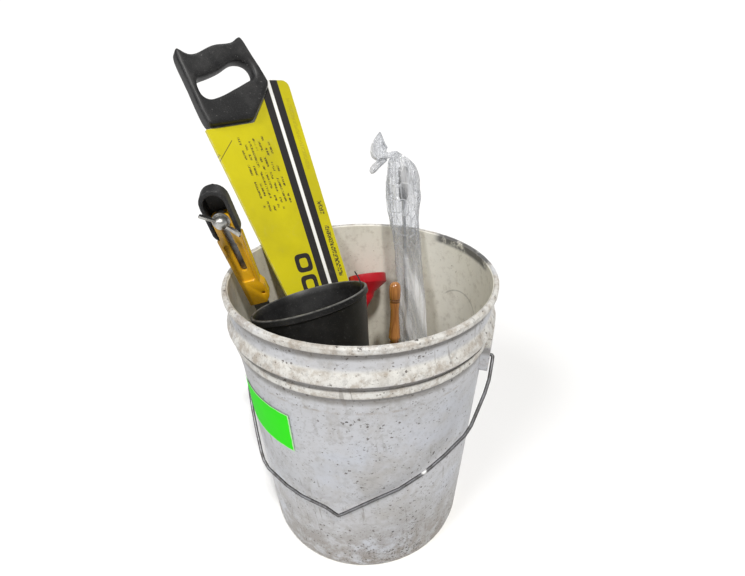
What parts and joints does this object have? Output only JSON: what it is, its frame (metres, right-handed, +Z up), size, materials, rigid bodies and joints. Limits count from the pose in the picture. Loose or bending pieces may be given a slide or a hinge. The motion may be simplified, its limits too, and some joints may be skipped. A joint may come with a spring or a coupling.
{
  "type": "tool bucket organizer",
  "caption": "Open plastic bucket with a wire bail, holding a sleeved handsaw, jab saw, file, bagged rod, funnel and plant pot that each lift out.",
  "frame": {"origin": "centre of the bucket's bottom resting plane", "axes": "+Z up, -Y toward the front of the bucket, +X to the right seen from the front"},
  "size_m": [0.3693, 0.3878, 0.5917],
  "materials": {
    "pail_hdpe": "satin, scuffed",
    "label_green": "matt film",
    "bail_wire": "dull drawn wire",
    "saw_sleeve": "coated card, satin",
    "saw_blade": "ground",
    "saw_handle": "moulded, fine texture",
    "jab_body": "gloss enamel on die casting",
    "jab_grip": "moulded",
    "jab_blade": "dull",
    "jab_wing_nut": "zinc plated",
    "plant_pot": "satin, dusty",
    "cable_tie": "satin",
    "funnel": "gloss",
    "rod_shaft": "bright drawn",
    "rod_cap": "satin",
    "poly_bag": "clear crinkled film",
    "file_handle": "glossy varnish",
    "file_ferrule": "dull",
    "file_blade": "cut teeth"
  },
  "bodies": {
    "pail": {"bucket": "pail_hdpe", "label": "label_green"},
    "bail": {"bail": "bail_wire"},
    "sleeve": {"saw_sleeve": "saw_sleeve"},
    "saw": {"saw_blade": "saw_blade", "saw_handle": "saw_handle"},
    "jab_saw": {"jab_body": "jab_body", "jab_grip": "jab_grip"},
    "jab_carriage": {"jab_blade": "jab_blade", "jab_bolt": "jab_wing_nut", "jab_washer": "jab_wing_nut"},
    "wing_nut": {"jab_wing_nut": "jab_wing_nut"},
    "pot": {"plant_pot": "plant_pot"},
    "tie": {"cable_tie": "cable_tie"},
    "funnel": {"funnel": "funnel"},
    "bagged_rod": {"rod_shaft": "rod_shaft", "rod_cap": "rod_cap", "poly_bag": "poly_bag"},
    "file": {"file_handle": "file_handle", "file_ferrule": "file_ferrule", "file_blade": "file_blade"}
  },
  "joints": [
    {"name": "bail_swing", "type": "hinge", "parent": "pail", "child": "bail", "pos_m": [0, 0, 0.285], "axis": [-0.9397, 0.342, 0], "range_deg": [0, 62]},
    {"name": "sleeve_lift", "type": "slide", "parent": "pail", "child": "sleeve", "axis": [-0.2646, 0.4746, 0.8395], "range_m": [0, 0.42]},
    {"name": "saw_draw", "type": "slide", "parent": "sleeve", "child": "saw", "axis": [-0.2646, 0.4746, 0.8395], "range_m": [0, 0.6]},
    {"name": "jab_lift", "type": "slide", "parent": "pail", "child": "jab_saw", "axis": [-0.1848, -0.1626, 0.9692], "range_m": [0, 0.38]},
    {"name": "blade_adjust", "type": "slide", "parent": "jab_saw", "child": "jab_carriage", "axis": [-0.1848, -0.1626, 0.9692], "range_m": [0, 0.014]},
    {"name": "wing_nut_turn", "type": "hinge", "parent": "jab_carriage", "child": "wing_nut", "pos_m": [-0.13911, -0.00961, 0.43639], "axis": [0.1273, -0.9819, -0.1404], "continuous": true},
    {"name": "pot_lift", "type": "slide", "parent": "pail", "child": "pot", "axis": [0.4487, -0.233, 0.8628], "range_m": [0, 0.15]},
    {"name": "tie_draw", "type": "slide", "parent": "pot", "child": "tie", "axis": [-0.231, 0.265, 0.9361], "range_m": [0, 0.12]},
    {"name": "funnel_lift", "type": "slide", "parent": "pail", "child": "funnel", "axis": [0, 0, 1], "range_m": [0, 0.38]},
    {"name": "rod_lift", "type": "slide", "parent": "pail", "child": "bagged_rod", "axis": [-0.01, 0.3201, 0.9473], "range_m": [0, 0.38]},
    {"name": "file_lift", "type": "slide", "parent": "pail", "child": "file", "axis": [0.0088, 0.1649, 0.9863], "range_m": [0, 0.36]}
  ]
}
